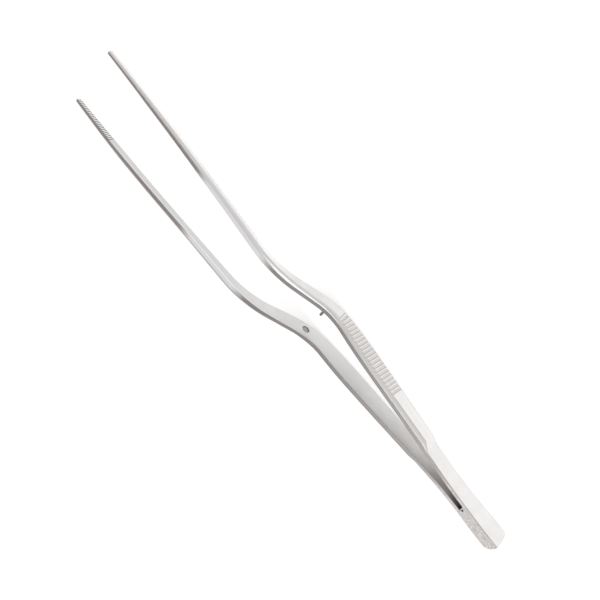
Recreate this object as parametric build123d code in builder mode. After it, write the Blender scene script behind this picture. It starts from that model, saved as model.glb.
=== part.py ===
"""Long bayonet tweezers for planting an aquarium.

Two mirror-image steel arms are joined at the heel through a spacer. Each arm is a thin spring leaf,
a ridged grip, a bayonet bend and a slender D-shaped shank that ends in a toothed jaw. A guide pin in
the near arm runs into a countersunk hole in the far arm as the arms close.

Frame: +X from the heel to the tips, the arms open along Y (near arm at -Y), +Z is the way the bend
offsets the jaws. The origin is the bottom centre of the whole object's box.
"""
from build123d import *

import math
import os

# ---- Sizes along the arm, measured along its centre line from the heel end (mm, degrees)
heel_length = 21.3
heel_flat_length = 8.0
leaf_length = 26.9
ramp_length = 4.0
handle_length = 110.7
first_bend_radius = 29.7
slant_angle = 36.1
slant_length = 11.6
second_bend_radius = 39.4
shank_rise_angle = 0.8
shank_length = 109.6
neck_length = 22.0

# ---- Where the arm is narrowest or widest, measured from the end of the stretch it belongs to
waist_past_heel = 23.7
grip_widest_before_bend = 15.7
bend_width_past_handle = 10.3
shank_root_past_bend = 2.7
shank_waist_past_bend = 24.7
jaw_width_before_tip = 37.9

# ---- Widths, seen along Y
heel_width = 12.0
heel_front_width = 10.9
waist_width = 10.05
grip_width = 11.6
bend_width = 8.8
shank_root_width = 4.5
shank_width = 3.9
jaw_width = 3.75
tip_width = 2.2

# ---- Thicknesses, along Y
spacer_thickness = 2.2
leaf_thickness = 1.6
grip_thickness = 3.25
shank_root_thickness = 3.95
shank_thickness = 3.6
jaw_root_thickness = 3.0
tip_thickness = 2.0

# ---- Bevels and rounded backs: height of the straight side, and inset of the outer flat
grip_side_height = 1.7
grip_bevel = 1.65
bend_side_height = 2.1
shank_side_height = 1.8
shank_bevel = 1.75
tip_side_height = 0.8
tip_bevel = 0.85
grip_bevel_crown = 0.06
shank_back_crown = 0.2
ramp_foot_bevel = 0.15
tip_radius = 1.1

# ---- How far each arm leans out from the middle plane (slope of its inner face, in degrees)
leaf_bow_length = 20.7
leaf_spread_angle = 4.75
shank_spread_angle = 3.15
jaw_bow_past_bend = 44.8
tip_spread_angle = 0.0

# ---- Heel end
heel_crown = 0.45
heel_end_setback = 1.3
heel_corner_radius = 1.3
heel_rounding = 5.0
weld_pit_size = 1.6
weld_pit_depth = 2.5
weld_pit_setback = 0.5

# ---- Grip ridges and jaw teeth
last_ridge_past_handle = 5.4
ridge_pitch = 1.91
ridge_count = 22
ridge_groove_width = 0.95
ridge_groove_depth = 0.3
tooth_pitch = 1.0
tooth_count = 25
tooth_groove_width = 0.7
tooth_groove_depth = 0.4
tooth_tip_margin = 0.5

# ---- Guide pin and guide hole
pin_past_handle = 12.7
pin_diameter = 1.25
pin_reach = 4.9
pin_seat_depth = 1.6
pin_end_chamfer = 0.2
guide_clearance = 0.78
countersink_width = 0.45
countersink_angle = 90

# ---- Values worked out from the sizes above
overcut = 0.1
slant = math.radians(slant_angle)
shank_rise = math.radians(shank_rise_angle)
stretches = [
    (handle_length, 0.0),
    (first_bend_radius * slant, slant),
    (slant_length, slant),
    (second_bend_radius * (slant - shank_rise), shank_rise),
    (shank_length, shank_rise),
]
arm_length = sum(length for length, end_slope in stretches)
leaf_end = heel_length + leaf_length
grip_start = leaf_end + ramp_length
bend_end = arm_length - shank_length
jaw_start = bend_end + neck_length
heel_thickness = spacer_thickness + 2 * leaf_thickness
waist_place = heel_length + waist_past_heel
grip_widest_place = handle_length - grip_widest_before_bend
bend_width_place = handle_length + bend_width_past_handle
shank_root_place = bend_end + shank_root_past_bend
shank_waist_place = bend_end + shank_waist_past_bend
jaw_width_place = arm_length - jaw_width_before_tip
first_ridge_place = handle_length + last_ridge_past_handle - ridge_pitch * (ridge_count - 1)
pin_place = handle_length + pin_past_handle


def centre_line(place):
    """X, Z and slope of the arm's centre line at a distance along it, from the heel end."""
    x, z, slope = 0.0, 0.0, 0.0
    for length, end_slope in stretches:
        step = min(place, length)
        turn = (end_slope - slope) * step / length
        if abs(turn) < 1e-9:
            x += step * math.cos(slope)
            z += step * math.sin(slope)
        else:
            radius = step / turn
            x += radius * (math.sin(slope + turn) - math.sin(slope))
            z += radius * (math.cos(slope) - math.cos(slope + turn))
        slope += turn
        place -= step
        if place <= 0:
            break
    return x, z, slope


overall_length = centre_line(arm_length)[0]
heel_x = -overall_length / 2
handle_z = heel_width / 2

spread_points = [
    (heel_length, 0.0),
    (heel_length + leaf_bow_length, math.radians(leaf_spread_angle)),
    (centre_line(bend_end)[0], math.radians(shank_spread_angle)),
    (centre_line(bend_end)[0] + jaw_bow_past_bend, math.radians(shank_spread_angle)),
    (overall_length, math.radians(tip_spread_angle)),
]


def half_gap(x):
    """Distance of an arm's inner face from the middle plane: its slope runs evenly between the points."""
    gap = spacer_thickness / 2
    for (x0, slope0), (x1, slope1) in zip(spread_points, spread_points[1:]):
        run = min(max(x - x0, 0.0), x1 - x0)
        gap += slope0 * run + (slope1 - slope0) * run**2 / (2 * (x1 - x0))
    return gap


def smooth(place, knots):
    """Value at a place of a smooth curve through the (place, value) knots, with no overshoot."""
    after = max(1, min(len(knots) - 1, sum(1 for knot in knots if knot[0] < place)))
    rates = [(b[1] - a[1]) / (b[0] - a[0]) for a, b in zip(knots, knots[1:])]

    def rate_at(index):
        if index in (0, len(knots) - 1):
            return rates[min(index, len(rates) - 1)]
        before, behind = rates[index - 1], rates[index]
        return 0.0 if before * behind <= 0 else 2 * before * behind / (before + behind)

    (start, first), (end, last) = knots[after - 1], knots[after]
    span = end - start
    t = min(max((place - start) / span, 0.0), 1.0)
    value = (1 + 2 * t) * (1 - t) ** 2 * first + t**2 * (3 - 2 * t) * last
    return value + span * (t * (1 - t) ** 2 * rate_at(after - 1) - t**2 * (1 - t) * rate_at(after))


width_knots = [
    (0.0, heel_width),
    (heel_flat_length, heel_width),
    (heel_length, heel_front_width),
    (waist_place, waist_width),
    (grip_widest_place, grip_width),
    (bend_width_place, bend_width),
    (shank_root_place, shank_root_width),
    (shank_waist_place, shank_width),
    (jaw_width_place, jaw_width),
    (arm_length, tip_width),
]
thickness_knots = [
    (grip_start, grip_thickness),
    (handle_length, grip_thickness),
    (shank_root_place, shank_root_thickness),
    (shank_waist_place, shank_thickness),
    (jaw_width_place, jaw_root_thickness),
    (arm_length, tip_thickness),
]
side_knots = [
    (grip_start, grip_side_height),
    (handle_length, grip_side_height),
    (bend_width_place, bend_side_height),
    (shank_root_place, shank_side_height),
    (arm_length, tip_side_height),
]
bevel_knots = [
    (grip_start, grip_bevel),
    (handle_length, grip_bevel),
    (shank_root_place, shank_bevel),
    (arm_length, tip_bevel),
]
crown_knots = [
    (grip_start, grip_bevel_crown),
    (handle_length, grip_bevel_crown),
    (shank_root_place, shank_back_crown),
    (arm_length, shank_back_crown),
]


def section_plane(place):
    """Plane across the near arm: local X is across its width, local Y points out of its back."""
    x, z, slope = centre_line(place)
    return Plane(
        origin=(x + heel_x, -half_gap(x), z + handle_z),
        x_dir=(-math.sin(slope), 0, math.cos(slope)),
        z_dir=(math.cos(slope), 0, math.sin(slope)),
    )


def groove_plane(place, height):
    """Plane along the near arm, square to its width, at a height above the inner face."""
    x, z, slope = centre_line(place)
    return Plane(
        origin=(x + heel_x, -half_gap(x) - height, z + handle_z),
        x_dir=(math.cos(slope), 0, math.sin(slope)),
        z_dir=(-math.sin(slope), 0, math.cos(slope)),
    )


def bar_section(place, side, top, bevel, crown, shrink=1.0):
    """Face across the near arm: flat inner side, straight edges, crowned bevels and an outer flat."""
    half = shrink * smooth(place, width_knots) / 2
    side *= shrink
    top *= shrink
    flat = half - shrink * bevel
    rise, run = top - side, half - flat
    middle = ((half + flat) / 2 + crown * rise, (side + top) / 2 + crown * run)
    with BuildSketch(section_plane(place)) as section:
        with BuildLine():
            Line((-half, 0), (half, 0))
            Line((half, 0), (half, side))
            ThreePointArc((half, side), middle, (flat, top))
            Line((flat, top), (-flat, top))
            ThreePointArc((-flat, top), (-middle[0], middle[1]), (-half, side))
            Line((-half, side), (-half, 0))
        make_face()
    return section.sketch


def arm_section(place, shrink=1.0):
    """Section of the grip, bend or shank with the sizes that belong to its place."""
    return bar_section(
        place,
        smooth(place, side_knots),
        smooth(place, thickness_knots),
        smooth(place, bevel_knots),
        smooth(place, crown_knots),
        shrink,
    )


def evenly(start, end, count):
    """Count + 1 places, evenly spaced, from start to end."""
    return [start + (end - start) * index / count for index in range(count + 1)]


def heel_plate(outer_y, thickness, pitted=False):
    """One layer of the heel, from its face at outer_y towards -Y, with the crowned and rounded end."""
    edge = [(place, smooth(place, width_knots) / 2) for place in evenly(heel_flat_length, heel_length, 2)]
    upper = [(x + heel_x, handle_z + half) for x, half in edge]
    lower = [(x + heel_x, handle_z - half) for x, half in edge]
    top_corner = (heel_x, handle_z + heel_width / 2)
    bottom_corner = (heel_x + heel_end_setback, handle_z - heel_width / 2)
    crown = (heel_x + heel_end_setback / 2 - heel_crown, handle_z)
    with BuildPart() as plate:
        with BuildSketch(Plane.XZ.offset(-outer_y)):
            with BuildLine():
                Line(top_corner, upper[0])
                Spline(*upper)
                Line(upper[-1], lower[-1])
                Spline(*lower)
                Line(lower[0], bottom_corner)
                ThreePointArc(bottom_corner, crown, top_corner)
            make_face()
        extrude(amount=thickness)
        corner = plate.edges().filter_by(Axis.Y).sort_by_distance((bottom_corner[0], 0, bottom_corner[1]))
        fillet(corner[0], radius=heel_corner_radius)
        with BuildSketch(Plane.XY):
            with Locations((heel_x - overcut, -heel_thickness / 2)):
                Rectangle(heel_rounding + overcut, heel_thickness, align=(Align.MIN, Align.MIN))
            with Locations((heel_x + heel_rounding, -heel_thickness / 2)):
                Ellipse(heel_rounding, heel_thickness, mode=Mode.SUBTRACT)
        extrude(amount=heel_width, mode=Mode.SUBTRACT)
        if pitted:
            with BuildSketch(Plane.XY.offset(edge[-1][1] + handle_z - weld_pit_depth)):
                with Locations((heel_x + heel_length - weld_pit_setback, 0)):
                    RegularPolygon(weld_pit_size / 2, 3, rotation=180, align=(Align.MAX, Align.CENTER))
            extrude(amount=2 * weld_pit_depth, mode=Mode.SUBTRACT)
    return plate


# ---- Heel: a spacer with the flat root of an arm on each side of it
near_heel_tab = heel_plate(-spacer_thickness / 2, leaf_thickness)
far_heel_tab = heel_plate(heel_thickness / 2, leaf_thickness)
heel_spacer = heel_plate(spacer_thickness / 2, spacer_thickness, pitted=True)

# ---- Near arm: spring leaf
with BuildPart() as near_spring_leaf:
    for place in evenly(heel_length, leaf_end, 5):
        with BuildSketch(section_plane(place)):
            Rectangle(smooth(place, width_knots), leaf_thickness, align=(Align.CENTER, Align.MIN))
    loft()

# ---- Ramp, ridged grip and bayonet bend, before the near one gets its pin seat and the far one its hole
ridge_places = [first_ridge_place + ridge_pitch * index for index in range(ridge_count)]
with BuildPart() as grip_blank:
    foot_side = leaf_thickness - ramp_foot_bevel
    add(bar_section(leaf_end, foot_side, leaf_thickness, ramp_foot_bevel, grip_bevel_crown))
    add(arm_section(grip_start))
    loft(ruled=True)
    for place in evenly(grip_start, handle_length, 4):
        add(arm_section(place))
    loft()
    for place in evenly(handle_length, bend_end, 8):
        add(arm_section(place))
    loft()
    for place in ridge_places:
        with BuildSketch(groove_plane(place, smooth(place, thickness_knots))):
            with BuildLine():
                Polyline(
                    (-ridge_groove_width / 2, 0),
                    (-ridge_groove_width / 2, -overcut),
                    (ridge_groove_width / 2, -overcut),
                    (ridge_groove_width / 2, 0),
                    (0, ridge_groove_depth),
                    close=True,
                )
            make_face()
    extrude(amount=grip_width / 2, both=True, mode=Mode.SUBTRACT)

pin_x, pin_z, pin_slope = centre_line(pin_place)
pin_face = (pin_x + heel_x, -half_gap(pin_x), pin_z + handle_z)
far_hole_face = (pin_face[0], -pin_face[1], pin_face[2])

with BuildPart() as near_grip:
    add(grip_blank.part)
    with Locations(Plane(origin=pin_face, x_dir=(1, 0, 0), z_dir=(0, 1, 0))):
        Hole(radius=pin_diameter / 2, depth=pin_seat_depth)

with BuildPart() as far_grip:
    mirror(grip_blank.part, about=Plane.XZ)
    with Locations(Plane(origin=far_hole_face, x_dir=(1, 0, 0), z_dir=(0, -1, 0))):
        CounterSinkHole(
            radius=pin_diameter / 2 + guide_clearance,
            counter_sink_radius=pin_diameter / 2 + guide_clearance + countersink_width,
            depth=2 * grip_thickness,
            counter_sink_angle=countersink_angle,
        )

# ---- Guide pin, pressed into its seat in the near arm
with BuildPart() as guide_pin:
    pin_foot = Plane(origin=(pin_face[0], pin_face[1] - pin_seat_depth, pin_face[2]), z_dir=(0, 1, 0))
    with BuildSketch(pin_foot):
        Circle(pin_diameter / 2)
    extrude(amount=pin_seat_depth + pin_reach)
    chamfer(guide_pin.edges().sort_by(Axis.Y)[-1], length=pin_end_chamfer)

# ---- Near arm: neck, the part of the shank that bends most when the jaws are squeezed
with BuildPart() as near_shank_neck:
    for place in evenly(bend_end, jaw_start, 3):
        add(arm_section(place))
    loft()

# ---- Near arm: shank and toothed jaw with a rounded tip
nose_start = arm_length - tip_radius
with BuildPart() as near_jaw:
    for place in evenly(jaw_start, nose_start, 7):
        add(arm_section(place))
    loft()
    for turn in evenly(0.0, 80.0, 4):
        nose_place = nose_start + tip_radius * math.sin(math.radians(turn))
        add(arm_section(nose_place, shrink=math.cos(math.radians(turn))))
    loft()
    for index in range(tooth_count):
        tooth_place = nose_start - tooth_tip_margin - tooth_pitch * index
        with BuildSketch(groove_plane(tooth_place, 0)):
            with BuildLine():
                Polyline(
                    (-tooth_groove_width / 2, 0),
                    (-tooth_groove_width / 2, overcut),
                    (tooth_groove_width / 2, overcut),
                    (tooth_groove_width / 2, 0),
                    (0, -tooth_groove_depth),
                    close=True,
                )
            make_face()
    extrude(amount=shank_width, both=True, mode=Mode.SUBTRACT)

# ---- Far arm: mirror images of the rest of the near one
with BuildPart() as far_spring_leaf:
    mirror(near_spring_leaf.part, about=Plane.XZ)
with BuildPart() as far_shank_neck:
    mirror(near_shank_neck.part, about=Plane.XZ)
with BuildPart() as far_jaw:
    mirror(near_jaw.part, about=Plane.XZ)

pieces = {
    "heel_spacer": heel_spacer,
    "near_heel_tab": near_heel_tab,
    "near_spring_leaf": near_spring_leaf,
    "near_grip": near_grip,
    "near_shank_neck": near_shank_neck,
    "near_jaw": near_jaw,
    "guide_pin": guide_pin,
    "far_heel_tab": far_heel_tab,
    "far_spring_leaf": far_spring_leaf,
    "far_grip": far_grip,
    "far_shank_neck": far_shank_neck,
    "far_jaw": far_jaw,
}
os.makedirs("parts", exist_ok=True)
for label, piece in pieces.items():
    piece.part.label = label
    export_step(piece.part, f"parts/{label}.step")
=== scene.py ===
"""Visual model of long bayonet planting tweezers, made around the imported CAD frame.

Each arm is one bar of steel. It is drawn as two closed surfaces that meet at the crease where the ramp
reaches the ridged grip: a rear one (heel tab, spring leaf and ramp) that bends between the heel and the
arm, and a front one (grip, bayonet bend, shank and toothed jaw) that bends between the arm and its jaw.
The far arm is the mirror image of the near one, with a countersunk guide hole.
"""
import math

import bpy
import numpy as np
from mathutils import Matrix, Vector


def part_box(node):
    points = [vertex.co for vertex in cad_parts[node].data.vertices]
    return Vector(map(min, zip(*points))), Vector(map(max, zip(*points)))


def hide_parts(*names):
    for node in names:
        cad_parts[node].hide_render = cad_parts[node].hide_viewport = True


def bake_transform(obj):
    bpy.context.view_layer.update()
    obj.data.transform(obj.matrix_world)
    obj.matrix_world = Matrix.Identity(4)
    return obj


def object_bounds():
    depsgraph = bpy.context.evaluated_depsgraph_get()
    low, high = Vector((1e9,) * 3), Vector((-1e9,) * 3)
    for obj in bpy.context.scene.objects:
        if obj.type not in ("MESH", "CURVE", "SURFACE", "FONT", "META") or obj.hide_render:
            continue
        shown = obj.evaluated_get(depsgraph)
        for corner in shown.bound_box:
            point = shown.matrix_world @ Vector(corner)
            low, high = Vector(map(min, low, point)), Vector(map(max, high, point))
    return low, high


bl_info = {
    "name": "Bayonet Tweezers",
    "version": (1, 0, 0),
    "blender": (4, 5, 0),
    "location": "3D View > Sidebar > Tweezers",
    "description": "Long bayonet planting tweezers with ridged grips and toothed jaws",
    "category": "Add Mesh",
}

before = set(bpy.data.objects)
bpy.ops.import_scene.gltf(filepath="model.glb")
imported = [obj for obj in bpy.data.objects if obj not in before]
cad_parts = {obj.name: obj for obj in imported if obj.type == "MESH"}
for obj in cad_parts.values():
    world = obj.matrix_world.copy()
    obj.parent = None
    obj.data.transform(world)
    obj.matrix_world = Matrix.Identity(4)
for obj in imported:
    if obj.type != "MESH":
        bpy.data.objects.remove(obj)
CAD_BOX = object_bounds()
MM = 0.001
HEEL_X = CAD_BOX[0].x
HANDLE_Z = (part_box("heel_spacer")[0].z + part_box("heel_spacer")[1].z) / 2
CRISP_ANGLE = math.radians(38.0)  # faces that meet at more than this show a crisp edge
HANDS = {"near": 1, "far": -1}  # which way an arm's back points: towards -Y, or mirrored


# ---------------------------------------------------------------- sizes and colours a user can change


def length(name, description, millimetres):
    """A length property, in metres, with its default given in millimetres."""
    return bpy.props.FloatProperty(
        name=name, description=description, default=millimetres * MM, precision=5, unit="LENGTH"
    )


def angle(name, description, degrees):
    """An angle property, in radians, with its default given in degrees."""
    return bpy.props.FloatProperty(
        name=name, description=description, default=math.radians(degrees), subtype="ANGLE"
    )


def share(name, description, value):
    """A property from 0 to 1."""
    return bpy.props.FloatProperty(
        name=name, description=description, default=value, min=0.0, max=1.0, subtype="FACTOR"
    )


def colour(name, description, value):
    """A linear colour property."""
    return bpy.props.FloatVectorProperty(
        name=name, description=description, default=value, size=3, min=0.0, max=1.0, subtype="COLOR"
    )


class TweezersPath(bpy.types.PropertyGroup):
    """Lengths along the arm's centre line and how the two arms lean apart."""

    heel_length: length("Heel length", "From the heel end to the front of the heel tab", 21.3)
    heel_flat: length("Heel flat", "Stretch of the heel with straight edges", 8.0)
    leaf_length: length("Leaf length", "Thin spring leaf in front of the heel", 26.9)
    ramp_length: length("Ramp length", "Rise from the leaf to the full grip", 4.0)
    handle_length: length("Handle length", "Straight handle, from the heel end to the first bend", 110.7)
    first_radius: length("First bend radius", "Radius of the bend next to the grip", 29.7)
    slant_angle: angle("Slant angle", "How steeply the arm climbs between its two bends", 36.1)
    slant_length: length("Slant length", "Straight stretch between the two bends", 11.6)
    second_radius: length("Second bend radius", "Radius of the bend next to the shank", 39.4)
    shank_rise: angle("Shank rise", "Slope of the shank against the handle", 0.8)
    shank_length: length("Shank length", "From the second bend to the tip", 109.6)
    neck_length: length("Neck length", "First part of the shank, which flexes", 22.0)
    spacer_thickness: length("Spacer thickness", "Gap between the two heel tabs", 2.2)
    leaf_bow_length: length("Leaf bow length", "Stretch over which the leaf leans out", 20.7)
    leaf_spread: angle("Leaf spread", "Lean of an arm at the end of that stretch", 4.75)
    shank_spread: angle("Shank spread", "Lean of an arm at the second bend", 3.15)
    jaw_bow: length("Jaw bow", "From the second bend to where the shanks begin to turn parallel", 44.8)
    waist: length("Waist", "From the heel tab to the narrowest part of the leaf", 23.7)
    widest: length("Widest part", "From the widest part of the grip to the first bend", 15.7)
    bend_width_at: length("Bend width at", "From the first bend's start to where its width is known", 10.3)
    shank_root: length("Shank root", "From the second bend to the shank's root", 2.7)
    shank_waist: length("Shank waist", "From the second bend to the slender shank", 24.7)
    jaw_root: length("Jaw root", "From the root of the teeth to the tip", 37.9)


class TweezersSection(bpy.types.PropertyGroup):
    """Widths and thicknesses of the bar, and the size of its bevels."""

    heel_width: length("Heel width", "Width of the heel", 12.0)
    heel_front_width: length("Heel front width", "Width at the front of the heel tab", 10.9)
    waist_width: length("Waist width", "Narrowest width of the spring leaf", 10.05)
    grip_width: length("Grip width", "Widest part of the ridged grip", 11.6)
    bend_width: length("Bend width", "Width at the first bend", 8.8)
    shank_root_width: length("Shank root width", "Width just past the second bend", 4.5)
    shank_width: length("Shank width", "Width of the shank", 3.9)
    jaw_width: length("Jaw width", "Width at the root of the teeth", 3.75)
    tip_width: length("Tip width", "Width at the tip", 2.2)
    leaf_thickness: length("Leaf thickness", "Thickness of the heel tab and leaf", 1.6)
    grip_thickness: length("Grip thickness", "Thickness of the grip", 3.25)
    shank_root_thickness: length("Shank root thickness", "Thickness past the second bend", 3.95)
    shank_thickness: length("Shank thickness", "Thickness of the shank", 3.6)
    jaw_root_thickness: length("Jaw root thickness", "Thickness at the root of the teeth", 3.0)
    tip_thickness: length("Tip thickness", "Thickness at the tip", 2.0)
    grip_side: length("Grip side height", "Straight side of the grip", 1.7)
    bend_side: length("Bend side height", "Straight side at the first bend", 2.1)
    shank_side: length("Shank side height", "Straight side of the shank", 1.8)
    tip_side: length("Tip side height", "Straight side at the tip", 0.8)
    grip_bevel: length("Grip bevel", "Inset of the grip's outer flat", 1.65)
    shank_bevel: length("Shank bevel", "Inset of the shank's outer flat", 1.75)
    tip_bevel: length("Tip bevel", "Inset of the outer flat at the tip", 0.85)
    grip_crown: share("Grip bevel crown", "Bulge of the grip's bevel, as a share of its width", 0.06)
    shank_crown: share("Shank crown", "Bulge of the shank's back, as a share of the bevel's width", 0.2)
    leaf_bevel: length("Leaf bevel", "Broken outer edge of the leaf", 0.3)
    inner_chamfer: length("Inner chamfer", "Broken edge of the inner face", 0.36)


class TweezersDetail(bpy.types.PropertyGroup):
    """Heel end, ridges, teeth, guide hole, and the stretches past the second bend that are file-finished
    with a painted highlight.
    """

    heel_crown: length("Heel crown", "Bulge of the heel end", 0.45)
    heel_setback: length("Heel setback", "How far the heel's lower corner is set back", 1.3)
    heel_corner: length("Heel corner radius", "Radius of the heel's lower corner", 1.3)
    heel_rounding: length("Heel rounding", "Length of the rounded heel end", 5.0)
    ridge_end: length("Ridge end", "From the first bend's start to the last groove of the grip", 5.4)
    ridge_pitch: length("Ridge pitch", "From groove to groove", 1.91)
    ridge_count: bpy.props.IntProperty(name="Ridges", description="Number of grooves", default=22)
    ridge_width: length("Ridge groove width", "Width of a grip groove", 0.95)
    ridge_depth: length("Ridge groove depth", "Depth of a grip groove", 0.3)
    tooth_pitch: length("Tooth pitch", "From tooth to tooth", 1.0)
    tooth_count: bpy.props.IntProperty(name="Teeth", description="Number of tooth grooves", default=25)
    tooth_width: length("Tooth groove width", "Width of a tooth groove", 0.7)
    tooth_depth: length("Tooth groove depth", "Depth of a tooth groove", 0.4)
    tooth_margin: length("Tooth margin", "From the rounded tip to the first groove", 0.5)
    tip_radius: length("Tip radius", "Rounding of the tip", 1.1)
    hole_radius: length("Guide hole radius", "Radius of the guide hole in the far arm", 1.405)
    sink_width: length("Countersink width", "Width of the countersink's ring", 0.45)
    # The sides on these stretches are file-finished and carry a painted highlight.
    near_filed: length("Near arm filed", "Filed sides past the near arm's second bend", 34.0)
    far_filed: length("Far arm filed", "Filed sides past the far arm's second bend", 24.0)


class TweezersFinish(bpy.types.PropertyGroup):
    """Colours and surface finish of the steel, and the colours of its painted shade and painted highlights.
    """

    steel: colour("Steel", "Colour of the satin steel", (0.78, 0.77, 0.758))
    # Painted shade: the dark colour laid into the ridge grooves, along the leaf's bevel and the handle's
    # edges, and on the countersink's cone.
    recess_shade: colour("Recess", "Colour of the steel deep in grooves", (0.24, 0.215, 0.2))
    # Painted shade: the near-black colour between the teeth and in the spacer's weld pit.
    tooth: colour("Tooth groove", "Colour of the grooves between the teeth", (0.03, 0.027, 0.025))
    # Partly a grey finish on the inner faces, partly painted shade: this grey also darkens the sides of the
    # bend and the jaw, the upper bevel past the grip and the bend's outer flat.
    inner: colour("Inner steel", "Colour of the greyer steel, as on the inner faces", (0.59, 0.6, 0.6))
    # Painted highlight: a near-white colour on the file-finished sides past the second bend.
    filed_and_highlight: colour("Filed", "Colour of the filed sides past the second bend", (0.97, 0.98, 1.0))
    # Painted shade: a darker brown colour on the matt inner faces in the gap between the leaves, darkest
    # towards the spacer.
    dull_and_shaded: colour("Dull steel", "Colour of the dull inner faces near the spacer", (0.62, 0.56, 0.54))
    # Painted shade: a near-black colour on the inner faces at the spacer's front, where the gap between the
    # leaves lies in deep shade.
    scale: colour("Scale", "Colour of the scale in front of the spacer", (0.05, 0.04, 0.036))
    pin: colour("Pin", "Colour of the turned guide pin", (0.42, 0.39, 0.37))
    roughness: share("Roughness", "Roughness of the satin flats", 0.36)
    blasted: share("Blasted roughness", "Roughness of the blasted heel sides", 0.62)
    polish: share("Polish", "Roughness of the worn edges", 0.22)
    floor: colour("Floor", "Colour of the floor", (0.93, 0.93, 0.93))


# ---------------------------------------------------------------- the shape of an arm


def settings():
    """The four groups of sizes and finishes."""
    scene = bpy.context.scene
    return scene.tweezers_path, scene.tweezers_section, scene.tweezers_detail, scene.tweezers_finish


def smooth(place, knots):
    """A smooth curve with no overshoot through (place, value) knots.

    Between two knots it is a cubic whose end slopes are the harmonic mean of the slopes on both sides of
    each knot, or level where the curve turns back. Beyond the ends it keeps the end value.
    """
    places, values = np.array(knots).T
    rates = np.diff(values) / np.diff(places)
    before, behind = rates[:-1], rates[1:]
    same_way = before * behind > 0
    total = np.where(same_way, before + behind, 1.0)
    inner = np.where(same_way, 2 * before * behind / total, 0.0)
    slopes = np.concatenate([rates[:1], inner, rates[-1:]])
    after = np.clip(np.searchsorted(places, place), 1, len(places) - 1)
    span = places[after] - places[after - 1]
    t = np.clip((place - places[after - 1]) / span, 0, 1)
    value = (1 + 2 * t) * (1 - t) ** 2 * values[after - 1] + t**2 * (3 - 2 * t) * values[after]
    return value + span * (t * (1 - t) ** 2 * slopes[after - 1] - t**2 * (1 - t) * slopes[after])


def off_centre(place, first, pitch, count):
    """Signed distance from the nearest centre line of a row of grooves."""
    index = np.clip(np.round((place - first) / pitch), 0, count - 1)
    return place - first - pitch * index


def groove_cut(off, width, depth):
    """Depth of a V groove with softened crests, at a distance from its centre line."""
    nearness = np.clip(1 - 2 * np.abs(off) / width, 0, 1)
    return depth * nearness * (0.7 + 0.3 * nearness)


def window(place, start, end, fade):
    """1 between two places, and down to 0 over the fade outside them."""
    return np.clip((place - start) / fade + 1, 0, 1) * np.clip((end - place) / fade + 1, 0, 1)


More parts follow.
